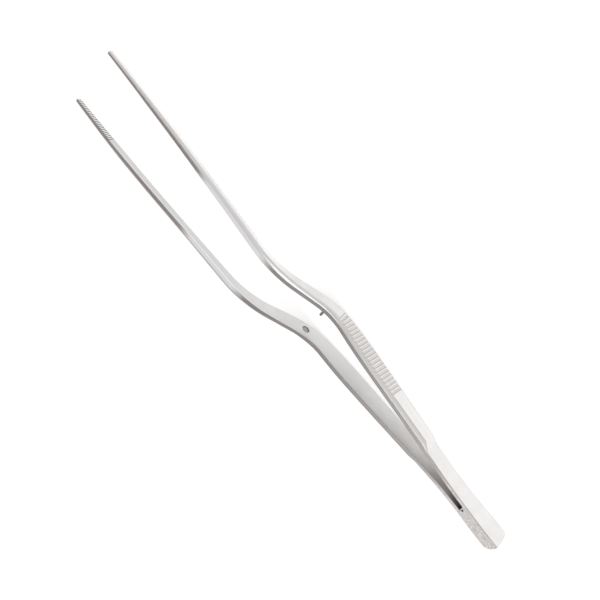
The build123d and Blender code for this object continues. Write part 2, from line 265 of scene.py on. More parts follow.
class Arm:
    """The near arm as functions of the place along its centre line, in metres from the heel end."""

    def __init__(self):
        path, section, detail, _ = settings()
        self.path, self.section, self.detail = path, section, detail
        self.stretches = [
            (path.handle_length, 0.0),
            (path.first_radius * path.slant_angle, path.slant_angle),
            (path.slant_length, path.slant_angle),
            (path.second_radius * (path.slant_angle - path.shank_rise), path.shank_rise),
            (path.shank_length, path.shank_rise),
        ]
        self.length = sum(stretch[0] for stretch in self.stretches)
        self.leaf_end = path.heel_length + path.leaf_length
        self.grip_start = self.leaf_end + path.ramp_length
        self.bend_end = self.length - path.shank_length
        self.jaw_start = self.bend_end + path.neck_length
        self.nose_start = self.length - detail.tip_radius
        self.last_ridge = path.handle_length + detail.ridge_end
        self.first_ridge = self.last_ridge - detail.ridge_pitch * (detail.ridge_count - 1)
        last_tooth = self.nose_start - detail.tooth_margin
        self.first_tooth = last_tooth - detail.tooth_pitch * (detail.tooth_count - 1)
        self.end_x = float(self.centre_line(self.length)[0])
        self.make_spread()
        self.make_knots()

    def make_spread(self):
        """How the slope of the inner face changes along X: evenly between these points."""
        path = self.path
        self.spread_x = np.array([
            path.heel_length,
            path.heel_length + path.leaf_bow_length,
            float(self.centre_line(self.bend_end)[0]),
            float(self.centre_line(self.bend_end)[0]) + path.jaw_bow,
            self.end_x,
        ])
        self.spread_slope = np.array([0.0, path.leaf_spread, path.shank_spread, path.shank_spread, 0.0])

    def make_knots(self):
        """Widths, thicknesses, side heights and bevels at the places where they are known."""
        path, size = self.path, self.section
        handle, bend, tip = path.handle_length, self.bend_end, self.length
        root, waist, jaw = bend + path.shank_root, bend + path.shank_waist, tip - path.jaw_root
        first_bend = handle + path.bend_width_at
        self.width_knots = [
            (0.0, size.heel_width),
            (path.heel_flat, size.heel_width),
            (path.heel_length, size.heel_front_width),
            (path.heel_length + path.waist, size.waist_width),
            (handle - path.widest, size.grip_width),
            (first_bend, size.bend_width),
            (root, size.shank_root_width),
            (waist, size.shank_width),
            (jaw, size.jaw_width),
            (tip, size.tip_width),
        ]
        self.thickness_knots = [
            (self.grip_start, size.grip_thickness),
            (handle, size.grip_thickness),
            (root, size.shank_root_thickness),
            (waist, size.shank_thickness),
            (jaw, size.jaw_root_thickness),
            (tip, size.tip_thickness),
        ]
        self.side_knots = [
            (self.grip_start, size.grip_side),
            (handle, size.grip_side),
            (first_bend, size.bend_side),
            (root, size.shank_side),
            (tip, size.tip_side),
        ]
        self.bevel_knots = [
            (self.grip_start, size.grip_bevel),
            (handle, size.grip_bevel),
            (root, size.shank_bevel),
            (tip, size.tip_bevel),
        ]
        self.crown_knots = [
            (self.grip_start, size.grip_crown),
            (handle, size.grip_crown),
            (root, size.shank_crown),
            (tip, size.shank_crown),
        ]

    def centre_line(self, place):
        """X, Z and slope along straight stretches and arcs.

        On an arc, the point lies a chord away from the arc's start, and the chord points half the turn on.
        """
        place = np.asarray(place, float)
        x, z, start, slope = np.zeros_like(place), np.zeros_like(place), 0.0, 0.0
        turned = np.zeros_like(place)
        for stretch, end_slope in self.stretches:
            step = np.clip(place - start, 0, stretch)
            turn = (end_slope - slope) * step / stretch
            chord = step * np.sinc(turn / (2 * np.pi))
            x += chord * np.cos(slope + turn / 2)
            z += chord * np.sin(slope + turn / 2)
            turned += turn
            start, slope = start + stretch, end_slope
        return x, z, turned

    def half_gap(self, x):
        """Distance of the inner face from the middle plane: the sum of its slope over X."""
        gap = np.full_like(x, self.path.spacer_thickness / 2)
        for x0, x1, slope0, slope1 in zip(
            self.spread_x, self.spread_x[1:], self.spread_slope, self.spread_slope[1:]
        ):
            run = np.clip(x - x0, 0, x1 - x0)
            gap += slope0 * run + (slope1 - slope0) * run**2 / (2 * (x1 - x0))
        return gap

    def off_ridge(self, place):
        """Signed distance from the nearest groove of the grip."""
        d = self.detail
        return off_centre(place, self.first_ridge, d.ridge_pitch, d.ridge_count)

    def off_tooth(self, place):
        """Signed distance from the nearest groove between the teeth."""
        d = self.detail
        return off_centre(place, self.first_tooth, d.tooth_pitch, d.tooth_count)

    def ridge_shade(self, place):
        """How much painted shade and painted highlight the ridges have.

        They are painted a little dark all over, darker on the tip-side wall of each groove, and painted
        bright on its heel-side wall: painted shade and painted highlight.
        """
        width = self.detail.ridge_width
        off, wall = self.off_ridge(place) / width, 0.24
        dark = np.clip(1 - np.abs(off - wall) / 0.3, 0, 1)
        bright = np.clip(1.3 - np.abs(off + wall) / 0.25, 0, 1)
        ridged = window(place, self.first_ridge - width / 2, self.last_ridge + width / 2, 0.1 * MM)
        return ridged * (0.3 + 0.4 * dark) * (1 - bright), ridged * bright

    def tooth_shade(self, place):
        """Painted shade between the teeth: full on the middle of each groove, and none on its crests."""
        return np.clip(1.7 - 6.5 * np.abs(self.off_tooth(place) / self.detail.tooth_pitch), 0, 1)

    def bar(self, place):
        """Half width, side height, top height, bevel inset and crown, and how far the bar has grown.

        Behind the ramp the bar is a plain flat strip, and over the ramp it grows evenly into the grip.
        """
        size = self.section
        grown = np.clip((place - self.leaf_end) / self.path.ramp_length, 0, 1)
        half = smooth(place, self.width_knots) / 2
        strip_side = size.leaf_thickness - size.leaf_bevel
        side = (1 - grown) * strip_side + grown * smooth(place, self.side_knots)
        top = (1 - grown) * size.leaf_thickness + grown * smooth(place, self.thickness_knots)
        bevel = (1 - grown) * size.leaf_bevel + grown * smooth(place, self.bevel_knots)
        return half, side, top, bevel, smooth(place, self.crown_knots), grown

    def outline(self, place):
        """Closed outline of the bar at each place: across its width and out of its back, plus its masks.

        Half the outline runs from the middle of the inner face round the inner chamfer, the straight side
        and the crowned bevel to the middle of the outer flat. Each corner is a quadratic curve, and each
        flat has a point held close to both its ends, so that its shading stays flat. The other half is
        its mirror image. The masks are 1 on the corners, the side, the inner face and the bevel.
        """
        half, side, top, bevel, crown, grown = self.bar(place)
        zero = np.zeros_like(half)

        def point(across, height):
            return np.stack([across, height], -1)

        inner, edge = point(zero, zero), point(half, zero)
        shoulder, brow, back = point(half, side), point(half - bevel, top), point(zero, top)
        run, rise = bevel, top - side
        middle = (shoulder + brow) / 2 + crown[:, None] * point(rise, run)
        bend = 2 * middle - (shoulder + brow) / 2

        def along(a, b, part):
            return a + (b - a) * part[:, None]

        def on_bevel(part):
            p = part[:, None]
            return (1 - p) ** 2 * shoulder + 2 * p * (1 - p) * bend + p**2 * brow

        def rounded(ends, corner, count):
            a, b = ends
            return [(1 - t) ** 2 * a + 2 * t * (1 - t) * corner + t**2 * b for t in np.linspace(0, 1, count)]

        chamfer = np.minimum(self.section.inner_chamfer * (0.35 + 0.65 * grown), 0.3 * side)
        soft = np.minimum(0.22 * MM * (0.25 + 0.75 * grown), 0.2 * side)
        near = np.minimum(0.2, soft / np.hypot(run, rise))
        hold = 0.12 * MM
        points, masks = [], []

        def lay(new, edge_mask, side_mask, inner_mask=0, bevel_mask=0):
            points.extend(new)
            masks.extend([(edge_mask, side_mask, inner_mask, bevel_mask)] * len(new))

        midway = np.full_like(half, 0.5)
        flat = [inner, along(inner, edge, midway), along(inner, edge, 1 - (chamfer + hold) / half)]
        chamfer_ends = along(inner, edge, 1 - chamfer / half), along(edge, shoulder, chamfer / side)
        held = (chamfer + hold) / side, 1 - (soft + hold) / side
        straight = [along(edge, shoulder, part) for part in held]
        shoulder_ends = along(edge, shoulder, 1 - soft / side), on_bevel(near)
        crowned = [on_bevel(near + (1 - 2 * near) * part) for part in (0.15, 0.35, 0.5, 0.65, 0.85)]
        brow_ends = on_bevel(1 - near), along(brow, back, soft / (half - bevel))
        outer = [along(brow, back, (soft + hold) / (half - bevel)), along(brow, back, midway), back]
        lay(flat, 0, 0, 1)
        lay(rounded(chamfer_ends, edge, 5), 1, 0.5)
        lay(straight, 0, 1)
        lay(rounded(shoulder_ends, shoulder, 4), 1, 0.5)
        lay(crowned, 0, 0, 0, 1)
        lay(rounded(brow_ends, brow, 4), 1, 0)
        lay(outer, 0, 0)
        upper = np.stack(points, 1)
        lower = upper[:, -2:0:-1] * (-1, 1)
        loop = np.concatenate([upper, lower], 1)
        return loop, np.array(masks + masks[-2:0:-1], float).T, top

    def heel_end(self, across, out):
        """X of the heel's end face at a place across its width and at a distance from the middle plane.

        The end is a shallow arc from its upper corner to its set-back lower corner, which is rounded. In
        plan it is a quarter ellipse, from the near outer face round to the far one.
        """
        path, size, d = self.path, self.section, self.detail
        half = size.heel_width / 2
        level = across / half
        crowned = d.heel_setback * (1 - level) / 2 - d.heel_crown * (1 - level**2)
        corner = np.clip((d.heel_corner - half - across) / d.heel_corner, 0, 1)
        softened = 0.8
        crowned = crowned + d.heel_corner * (1 - np.sqrt(1 - corner**2)) * softened
        thickness = path.spacer_thickness + 2 * size.leaf_thickness
        depth = np.clip((out + thickness / 2) / thickness, 0, 1)
        rounded = d.heel_rounding * (1 - np.sqrt(1 - depth**2))
        return np.maximum(crowned, rounded)


def place_loops(arm, place, loop, hand):
    """Points in the frame of outlines at each place: the centre line, moved across and out of the back.

    Hand is 1 for the near arm and -1 for its mirror image. Behind the heel flat's front, X is squeezed
    evenly between the heel's end face and that front.
    """
    x, z, slope = (value[:, None] for value in arm.centre_line(place))
    across, out = loop[..., 0], loop[..., 1]
    y = -hand * (arm.half_gap(x) + out)
    px = x - across * np.sin(slope)
    pz = z + across * np.cos(slope)
    flat = arm.path.heel_flat
    end = arm.heel_end(across, y)
    px = np.where(px < flat, end + (flat - end) * px / flat, px)
    return np.stack([px + HEEL_X, y, pz + HANDLE_Z], -1)


# ---------------------------------------------------------------- meshes


def closed_surface(name, rows, hand=1, along=None, marks=None):
    """A closed mesh object from closed rows of points, with a pole at the mean of its first and last row.

    The faces join each point to its neighbours in its row and in the next one. The UV map holds the
    distance along and around the surface, in metres, and the marks become point attributes.
    """
    count, around = rows.shape[:2]
    points = np.concatenate([rows.reshape(-1, 3), rows[0].mean(0)[None], rows[-1].mean(0)[None]])
    ring = np.arange(around)
    after = (ring + 1) % around
    first = np.arange(count - 1)[:, None] * around
    quads = np.stack([first + ring, first + after, first + around + after, first + around + ring], -1)
    quads = quads.reshape(-1, 4)
    last = (count - 1) * around
    start = np.stack([after, ring, np.full(around, count * around)], -1)
    end = np.stack([last + ring, last + after, np.full(around, count * around + 1)], -1)
    if hand < 0:
        quads, start, end = quads[:, ::-1], start[:, ::-1], end[:, ::-1]
    corners = np.concatenate([quads.ravel(), start.ravel(), end.ravel()]).astype(np.int32)
    sizes = np.concatenate([np.full(len(quads), 4), np.full(2 * around, 3)])
    mesh = bpy.data.meshes.new(name)
    mesh.vertices.add(len(points))
    mesh.vertices.foreach_set("co", points.astype(np.float32).ravel())
    mesh.loops.add(len(corners))
    mesh.loops.foreach_set("vertex_index", corners)
    mesh.polygons.add(len(sizes))
    mesh.polygons.foreach_set("loop_start", np.concatenate([[0], np.cumsum(sizes)[:-1]]).astype(np.int32))
    mesh.update(calc_edges=True)
    add_distances(mesh, rows, along, corners)
    for mark, values in (marks or {}).items():
        attribute = mesh.attributes.new(mark, "FLOAT", "POINT")
        attribute.data.foreach_set("value", with_poles(values))
    mesh.shade_smooth()
    mesh.set_sharp_from_angle(angle=CRISP_ANGLE)
    piece = bpy.data.objects.new(name, mesh)
    bpy.context.scene.collection.objects.link(piece)
    return piece


def with_poles(values):
    """Values on the rows, then the mean of the first and of the last row for the two poles."""
    return np.concatenate([values.ravel(), [values[0].mean(), values[-1].mean()]]).astype(np.float32)


def add_distances(mesh, rows, along, corners):
    """A UV map of the distance along the piece and around its outline, the same on both halves of it."""
    step = np.linalg.norm(np.diff(rows, axis=1, prepend=rows[:, :1]), axis=2)
    about = np.cumsum(step, axis=1)
    total = about[:, -1:] + np.linalg.norm(rows[:, :1] - rows[:, -1:], axis=2)
    about = np.minimum(about, total - about)
    if along is None:
        centres = rows.mean(1)
        along = np.cumsum(np.linalg.norm(np.diff(centres, axis=0, prepend=centres[:1]), axis=1))
    along = np.broadcast_to(np.asarray(along)[:, None], about.shape)
    layer = mesh.uv_layers.new(name="Distances")
    uv = np.stack([with_poles(along)[corners], with_poles(about)[corners]], -1)
    layer.data.foreach_set("uv", uv.ravel())


def bar_piece(name, arm, place, start_caps, end_caps, hand):
    """A stretch of an arm as one closed surface: its outlines, less the grooves, the rounded tip and caps.

    The ridge grooves lower whatever stands above them on the back, and the tooth grooves raise whatever
    lies below them on the inner face. Past the start of the nose, the outline shrinks as the height of a
    circle. The caps are copies of the first and last outline, drawn in towards the middle of the bar. The
    ones at the heel end are blasted all over.
    """
    d = arm.detail
    loop, masks, top = arm.outline(place)
    ridge = groove_cut(arm.off_ridge(place), d.ridge_width, d.ridge_depth)
    tooth = groove_cut(arm.off_tooth(place), d.tooth_width, d.tooth_depth)
    height = loop[..., 1]
    cut_height = np.maximum(np.minimum(height, (top - ridge)[:, None]), tooth[:, None])
    loop = np.stack([loop[..., 0], cut_height], -1)
    nose = np.clip((place - arm.nose_start) / d.tip_radius, 0, 1)
    loop = loop * np.sqrt(1 - nose**2)[:, None, None]
    first, last = np.array([0.0, top[0] / 2]), loop[-1].mean(0)
    loop = np.concatenate([shrunk(loop[0], start_caps, first), loop, shrunk(loop[-1], end_caps, last)])
    whole = np.concatenate([np.full(len(start_caps), place[0]), place, np.full(len(end_caps), place[-1])])
    rows = place_loops(arm, whole, loop, hand)
    padding = ((len(start_caps), len(end_caps)), (0, 0))
    filed_length = d.near_filed if hand > 0 else d.far_filed
    marks = finish_marks(arm, whole, filed_length, loop[..., 0] > 0, *masks)
    on_ridges = height > 0.95 * top[:, None]
    # Painted shade on the ridges' tip-side walls and painted highlight on their heel-side walls.
    dark, bright = [np.pad(shade[:, None] * on_ridges, padding) for shade in arm.ridge_shade(place)]
    marks["recess_shade"] = np.maximum(marks["recess_shade"], dark)
    marks["painted_highlight"] = np.maximum(marks["painted_highlight"], bright)
    # Painted shade in the tooth grooves.
    marks["tooth"] = np.pad(arm.tooth_shade(place)[:, None] * (height < cut_height), padding)
    if place[0] == 0:
        for mark, values in marks.items():
            values[: len(start_caps)] = float(mark == "blasted")
    return closed_surface(name, rows, hand, whole, marks)


def finish_marks(arm, place, filed_length, upper, edge, side, inner, bevel):
    """How far each finish, painted shade and painted highlight is present at every point of an arm, from 0
    to 1.

    The sides are blasted at the heel, less and less along the grip, and file-finished just past the second
    bend, where they are also painted near white as a highlight. The inner faces are painted a darker grey,
    partly as a grey finish and partly as painted shade. The sides of the bend and of the jaw, the upper
    bevel past the grip and a little the outer flat of the bend are painted the same grey as shade. The inner
    faces next to the spacer are matt and painted darker as shade, and painted nearly black at its very
    front, where the gap between the leaves is in deep shade. The leaf's bevel and the handle's edges get
    painted shade, and the shank's back and the teeth a painted highlight.
    """
    bend, tip, handle = arm.bend_end, arm.length, arm.path.handle_length
    heel = 0.5 * window(place, 0.0, 30 * MM, 8 * MM) + 0.5 * window(place, 0.0, 34 * MM, 80 * MM)
    filed_and_highlight = window(place, bend - 4 * MM, bend + filed_length, 8 * MM)
    bent = window(place, handle + 12 * MM, bend - 12 * MM, 8 * MM)
    turned = window(place, handle + 12 * MM, bend - 6 * MM, 8 * MM)
    jaw = window(place, bend + 50 * MM, tip, 15 * MM)
    shank = window(place, bend, tip, 20 * MM)
    toothed = window(place, arm.first_tooth, tip, 0.5 * MM)
    bevelled = window(place, 0.0, arm.leaf_end - 6 * MM, 8 * MM)
    lined = window(place, arm.leaf_end - 2 * MM, handle, 20 * MM)
    # How grey the inner faces are painted along the arm: partly a grey finish, partly painted shade.
    inner_grey_and_shade = 0.2 + 0.25 * window(place, handle - 25 * MM, tip, 2 * MM) + 0.35 * shank
    # Painted shade in the gap between the leaves, growing towards the spacer; these faces are also made
    # matt.
    dull_and_shaded = np.clip((arm.leaf_end - 3 * MM - place) / (23 * MM), 0, 1)
    # Painted shade at the spacer's front, where the gap between the leaves is deepest.
    scale = np.clip((arm.path.heel_length + 9 * MM - place) / (9 * MM), 0, 1)

    def on(mask, along):
        return mask * along[:, None]

    outer = (1 - inner) * (1 - side) * (1 - bevel)
    # Painted shade on the upper bevel past the grip and on the sides of the bend and of the jaw.
    bevel_shade = on(bevel * upper, np.maximum(0.8 * turned, 0.2 * shank))
    side_shade = on(side, 0.9 * np.maximum(bent, jaw))
    return {
        "edge": on(edge, (1 - heel) * (1 - filed_and_highlight)),
        "blasted": np.maximum(on(side, heel), on(np.clip(side + edge, 0, 1), 0.95 * filed_and_highlight)),
        # Painted highlight on the file-finished sides and edges past the second bend.
        "filed_and_highlight": on(np.clip(side + edge, 0, 1), 0.75 * filed_and_highlight),
        # Painted shade along the leaf's bevel and the handle's edges.
        "recess_shade": np.maximum(on(0.75 * bevel, bevelled), on(0.4 * edge, lined)),
        # Painted shade on the inner faces between the leaves.
        "dull_and_shaded": on(inner, dull_and_shaded),
        # Painted shade, nearly black, on the inner faces at the spacer's front.
        "scale": on(inner, scale),
        # Grey finish on the inner faces, and painted shade there and on the bend's sides, bevel and outer
        # flat.
        "grey_and_shade": on(inner, inner_grey_and_shade * (1 - toothed)) + side_shade + on(outer, 0.3 * turned) + bevel_shade,
        # Painted highlight on the shank's back and on the teeth.
        "painted_highlight": on((1 - inner) * (1 - side) * (1 - 0.6 * bevel * upper), shank) + on(inner, toothed),
    }


def shrunk(loop, shares, centre):
    """Copies of one outline, drawn in towards a centre point to each share of its size."""
    return centre + (loop[None] - centre) * np.array(shares)[:, None, None]


def spaced(start, end, step):
    """Places from start to end, about a step apart."""
    return np.linspace(start, end, max(2, round((end - start) / step) + 1))


# ---------------------------------------------------------------- materials


GRIT_SHADES = (0.65, 1.29)  # darkest and brightest specks of blasted steel, as parts of its colour
PIT_SCALE = 1900.0  # blasting pits in a metre
MATT = 0.1  # Metallic of blasted and dull steel, which scatters light like a paint


def add_node(tree, kind, values=(), **node_settings):
    """A node with its settings, and with values or links for its inputs by name or number."""
    made = tree.nodes.new(kind)
    for setting, value in node_settings.items():
        setattr(made, setting, value)
    for socket, value in dict(values).items():
        if isinstance(value, bpy.types.NodeSocket):
            tree.links.new(value, made.inputs[socket])
        else:
            made.inputs[socket].default_value = value
    return made


def blend_colours(tree, factor, first, second):
    """The result of a Mix node for colours."""
    return add_node(tree, "ShaderNodeMix", {0: factor, 6: first, 7: second}, data_type="RGBA").outputs[2]


def remap(tree, value, low, high, to_low=0.0, to_high=1.0):
    """A value moved from one range to another, and kept inside it."""
    inputs = {"Value": value, "From Min": low, "From Max": high, "To Min": to_low, "To Max": to_high}
    return add_node(tree, "ShaderNodeMapRange", inputs).outputs["Result"]


def arithmetic(tree, operation, first, second):
    """The result of a Math node."""
    return add_node(tree, "ShaderNodeMath", {0: first, 1: second}, operation=operation).outputs[0]


def noise(tree, vector, scale, detail, roughness=0.5):
    """The value of a Noise Texture node."""
    inputs = {"Vector": vector, "Scale": scale, "Detail": detail, "Roughness": roughness}
    return add_node(tree, "ShaderNodeTexNoise", inputs).outputs["Fac"]


def shader_group(name, inputs, outputs):
    """An empty node group with named inputs and value outputs, and its input and output nodes."""
    group = bpy.data.node_groups.new(name, "ShaderNodeTree")
    for socket, (kind, value) in inputs.items():
        made = group.interface.new_socket(socket, in_out="INPUT", socket_type=kind)
        if value is not None:
            made.default_value = value
    for socket in outputs:
        group.interface.new_socket(socket, in_out="OUTPUT", socket_type="NodeSocketFloat")
    return group, group.nodes.new("NodeGroupInput"), group.nodes.new("NodeGroupOutput")


def satin_grain_group(name):
    """Fine parallel grain, with softer cloudy patches: shade and height, each from 0 to 1."""
    inputs = {
        "Vector": ("NodeSocketVector", None),
        "Fineness": ("NodeSocketFloat", 9000.0),
        "Streak": ("NodeSocketFloat", 0.05),
    }
    group, given, made = shader_group(name, inputs, ("Shade", "Height"))
    vector = given.outputs["Vector"]
    stretch = add_node(group, "ShaderNodeCombineXYZ", {0: 1.0, 1: given.outputs["Streak"], 2: 1.0})
    factors = {0: vector, 1: stretch.outputs[0]}
    streaked = add_node(group, "ShaderNodeVectorMath", factors, operation="MULTIPLY")
    grain = noise(group, streaked.outputs[0], given.outputs["Fineness"], 3.0, 0.65)
    cloud = noise(group, vector, 160.0, 4.0)
    fine = remap(group, grain, 0.3, 0.7)
    broad = remap(group, cloud, 0.35, 0.65)
    group.links.new(mixed(group, 0.4, fine, broad), made.inputs["Shade"])
    group.links.new(fine, made.inputs["Height"])
    return group


def blasted_group(name):
    """Fine pits of bead-blasted steel: shade and height, each from 0 to 1."""
    inputs = {"Vector": ("NodeSocketVector", None), "Pits": ("NodeSocketFloat", PIT_SCALE)}
    group, given, made = shader_group(name, inputs, ("Shade", "Height"))
    vector, scale = given.outputs["Vector"], given.outputs["Pits"]
    cells = add_node(group, "ShaderNodeTexVoronoi", {"Vector": vector, "Scale": scale})
    speck = noise(group, vector, scale, 5.0, 0.7)
    pits = remap(group, cells.outputs["Distance"], 0.1, 0.7)
    group.links.new(remap(group, speck, 0.38, 0.6), made.inputs["Shade"])
    group.links.new(arithmetic(group, "MULTIPLY", pits, speck), made.inputs["Height"])
    return group


def worn_edge_group(name):
    """Polish along worn edges: a mask from an edge mark, broken up by noise."""
    inputs = {"Vector": ("NodeSocketVector", None), "Edge": ("NodeSocketFloat", 0.0)}
    group, given, made = shader_group(name, inputs, ("Mask",))
    breaks = noise(group, given.outputs["Vector"], 420.0, 4.0)
    patchy = remap(group, breaks, 0.3, 0.55, 0.35, 1.0)
    group.links.new(arithmetic(group, "MULTIPLY", patchy, given.outputs["Edge"]), made.inputs["Mask"])
    return group


def place_group(tree, name, build, inputs):
    """A node that uses a shader group, which is built the first time that it is asked for."""
    group = bpy.data.node_groups.get(name) or build(name)
    return add_node(tree, "ShaderNodeGroup", inputs, node_tree=group)


def opaque(rgb):
    """A colour with full alpha."""
    return (*rgb, 1.0)


def mark_value(tree, name):
    """The value of a point attribute."""
    return add_node(tree, "ShaderNodeAttribute", attribute_name=name).outputs["Fac"]


def mixed(tree, factor, first, second):
    """The result of a Mix node for values."""
    return add_node(tree, "ShaderNodeMix", {0: factor, 2: first, 3: second}, data_type="FLOAT").outputs[0]


def scaled(rgb, part):
    """An opaque colour with its brightness multiplied."""
    return opaque([channel * part for channel in rgb])


def grit(tree, pits, rgb):
    """A steel's colour in dark and bright specks, as the pits' shade says."""
    dark, bright = (scaled(rgb, part) for part in GRIT_SHADES)
    return blend_colours(tree, pits.outputs["Shade"], dark, bright)


def bumped(tree, height, strength, distance):
    """The normal from a Bump node."""
    inputs = {"Height": height, "Strength": strength, "Distance": distance}
    return add_node(tree, "ShaderNodeBump", inputs).outputs["Normal"]


def plain_steel(name, rgb, roughness, grain, depth, metallic=1.0):
    """Bare steel with grain on Object coordinates, for a piece without marks."""
    made = bpy.data.materials.new(name)
    made.use_nodes = True
    tree = made.node_tree
    shader = tree.nodes["Principled BSDF"]
    shader.inputs["Metallic"].default_value = metallic
    vector = add_node(tree, "ShaderNodeTexCoord").outputs["Object"]
    pits = place_group(tree, "Blasted pits", blasted_group, {"Vector": vector, "Pits": grain})
    rough = remap(tree, pits.outputs["Shade"], 0.0, 1.0, roughness + 0.08, roughness - 0.05)
    tree.links.new(grit(tree, pits, rgb), shader.inputs["Base Color"])
    tree.links.new(rough, shader.inputs["Roughness"])
    tree.links.new(bumped(tree, pits.outputs["Height"], depth, 0.04 * MM), shader.inputs["Normal"])
    return made


def satin_steel(name):
    """Satin stainless steel of the arms, with its finishes, painted shade and painted highlights where the
    surface marks say.

    Cross grain lies on the flats, the worn edges are glossier, and the heel sides are blasted. The sides
    past the second bend are file-finished and painted near white as a highlight, and the ridges' heel-side
    walls, the shank's back and the teeth are painted lighter as highlights. The grooves, the gaps between
    the teeth, the leaf's bevel and the handle's edges have painted shade. The inner faces, the bend's sides
    and bevel and the jaw's sides are painted grey, partly as a finish and partly as shade. The wedge between
    the leaves is matt with painted shade, nearly black at its front.
    """
    finish = settings()[3]
    made = bpy.data.materials.new(name)
    made.use_nodes = True
    tree = made.node_tree
    shader = tree.nodes["Principled BSDF"]
    coordinates = add_node(tree, "ShaderNodeTexCoord")
    surface, solid = coordinates.outputs["UV"], coordinates.outputs["Object"]
    satin = place_group(tree, "Satin grain", satin_grain_group, {"Vector": surface})
    pits = place_group(tree, "Blasted pits", blasted_group, {"Vector": solid})
    worn_inputs = {"Vector": solid, "Edge": mark_value(tree, "edge")}
    worn = place_group(tree, "Worn edges", worn_edge_group, worn_inputs)
    shade = satin.outputs["Shade"]
    blasted, dull_and_shaded = mark_value(tree, "blasted"), mark_value(tree, "dull_and_shaded")
    tint = blend_colours(tree, shade, scaled(finish.steel, 0.9), scaled(finish.steel, 1.02))
    layers = {
        # Partly a grey finish, partly painted shade.
        "grey_and_shade": opaque(finish.inner),
        # Painted highlight: a lighter steel colour.
        "painted_highlight": scaled(finish.steel, 1.18),
        "blasted": grit(tree, pits, finish.steel),
        # Painted highlight: near-white colour on the file-finished sides.
        "filed_and_highlight": opaque(finish.filed_and_highlight),
        # Painted shade in the ridge grooves, along the leaf's bevel and along the handle's edges.
        "recess_shade": opaque(finish.recess_shade),
        # Painted shade between the teeth.
        "tooth": opaque(finish.tooth),
        # Painted shade between the leaves.
        "dull_and_shaded": opaque(finish.dull_and_shaded),
        # Painted shade, nearly black, deep in the gap between the leaves.
        "scale": opaque(finish.scale),
    }
    for mark, layer in layers.items():
        tint = blend_colours(tree, mark_value(tree, mark), tint, layer)
    rough = remap(tree, shade, 0.0, 1.0, finish.roughness + 0.06, finish.roughness - 0.05)
    rough = mixed(tree, blasted, rough, finish.blasted)
    rough = mixed(tree, worn.outputs["Mask"], rough, finish.polish)
    height = mixed(tree, blasted, satin.outputs["Height"], pits.outputs["Height"])
    metallic = mixed(tree, dull_and_shaded, mixed(tree, blasted, 1.0, MATT), MATT)
    tree.links.new(tint, shader.inputs["Base Color"])
    tree.links.new(rough, shader.inputs["Roughness"])
    tree.links.new(metallic, shader.inputs["Metallic"])
    tree.links.new(bumped(tree, height, 0.3, 0.03 * MM), shader.inputs["Normal"])
    return made


def paint_pit_shade(material, path, section, rgb):
    """Paints shade on the spacer below its top edge, just behind its front face, in the pit that the weld
    left.
    """
    tree = material.node_tree
    base = tree.nodes["Principled BSDF"].inputs["Base Color"]
    spot = add_node(tree, "ShaderNodeTexCoord").outputs["Object"]
    axes = add_node(tree, "ShaderNodeSeparateXYZ", {0: spot}).outputs
    front = HEEL_X + path.heel_length
    behind = arithmetic(tree, "LESS_THAN", axes["X"], front - 0.2 * MM)
    close = arithmetic(tree, "GREATER_THAN", axes["X"], front - 3 * MM)
    below = arithmetic(tree, "LESS_THAN", axes["Z"], HANDLE_Z + section.heel_front_width / 2 - 0.1 * MM)
    inside = arithmetic(tree, "MULTIPLY", arithmetic(tree, "MULTIPLY", behind, close), below)
    tree.links.new(blend_colours(tree, inside, base.links[0].from_socket, opaque(rgb)), base)


def dress(piece, material):
    """Gives a piece its one material."""
    piece.data.materials.clear()
    piece.data.materials.append(material)


# ---------------------------------------------------------------- operators


def arm_material():
    """The satin steel that all pieces of the two arms share."""
    return bpy.data.materials.get("Satin steel and painted light") or satin_steel("Satin steel and painted light")


class TWEEZERS_OT_rear_arms(bpy.types.Operator):
    """Make the heel tab, spring leaf and ramp of both arms"""

    bl_idname = "tweezers.rear_arms"
    bl_label = "Heel Tabs and Leaves"

    def execute(self, context):
        arm = Arm()
        path = arm.path
        place = np.unique(np.concatenate([
            np.array([0.0, 0.06, 0.2, 0.6]) * MM,
            spaced(1.2 * MM, path.heel_flat, 1 * MM),
            spaced(path.heel_flat, arm.leaf_end - 0.15 * MM, 0.9 * MM),
            spaced(arm.leaf_end, arm.leaf_end + 0.2 * MM, 0.1 * MM),
            spaced(arm.leaf_end + 0.5 * MM, arm.grip_start - 0.15 * MM, 0.5 * MM),
            [arm.grip_start],
        ]))
        heel_caps = [0.12, 0.35, 0.6, 0.8, 0.92, 0.98]
        for side, hand in HANDS.items():
            piece = bar_piece(f"{side}_leaf_bar", arm, place, heel_caps, [0.5], hand)
            dress(piece, arm_material())
            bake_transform(piece)
            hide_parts(f"{side}_heel_tab", f"{side}_spring_leaf")
        return {"FINISHED"}


